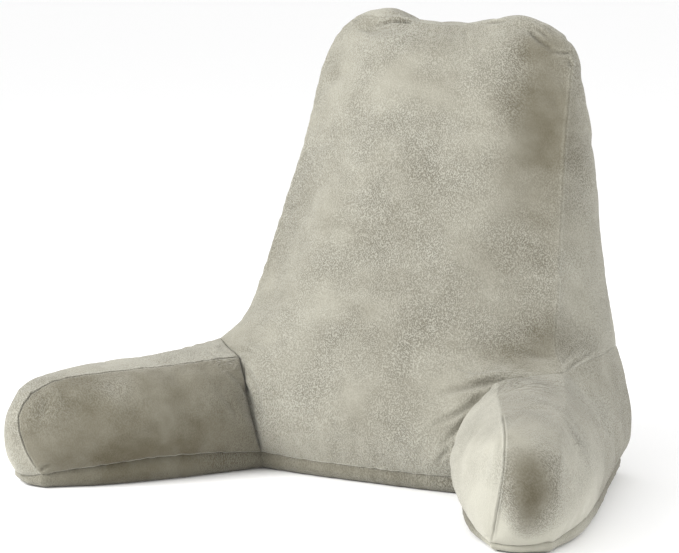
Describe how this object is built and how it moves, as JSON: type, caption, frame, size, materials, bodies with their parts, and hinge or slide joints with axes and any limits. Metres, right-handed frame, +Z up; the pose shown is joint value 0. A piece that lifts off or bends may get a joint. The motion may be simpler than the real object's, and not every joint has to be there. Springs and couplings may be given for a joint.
{
  "type": "reading pillow with arms",
  "caption": "Filled plush backrest pillow with soft ears at its top corners, boxed arms that reach forward, and a flat base panel.",
  "frame": {"origin": "centre of the footprint's box, on the surface that the base panel rests on", "axes": "+X along the width from arm to arm, +Y towards the rear panel, so the sitter faces -Y, +Z up"},
  "size_m": [0.8722, 0.5931, 0.6358],
  "materials": {
    "plush": "short-pile plush, greige",
    "plush_base": "short-pile plush, greige, in shade"
  },
  "bodies": {
    "root": {"backrest": "plush", "arm_left": "plush", "arm_right": "plush", "base_panel": "plush_base"}
  },
  "joints": []
}
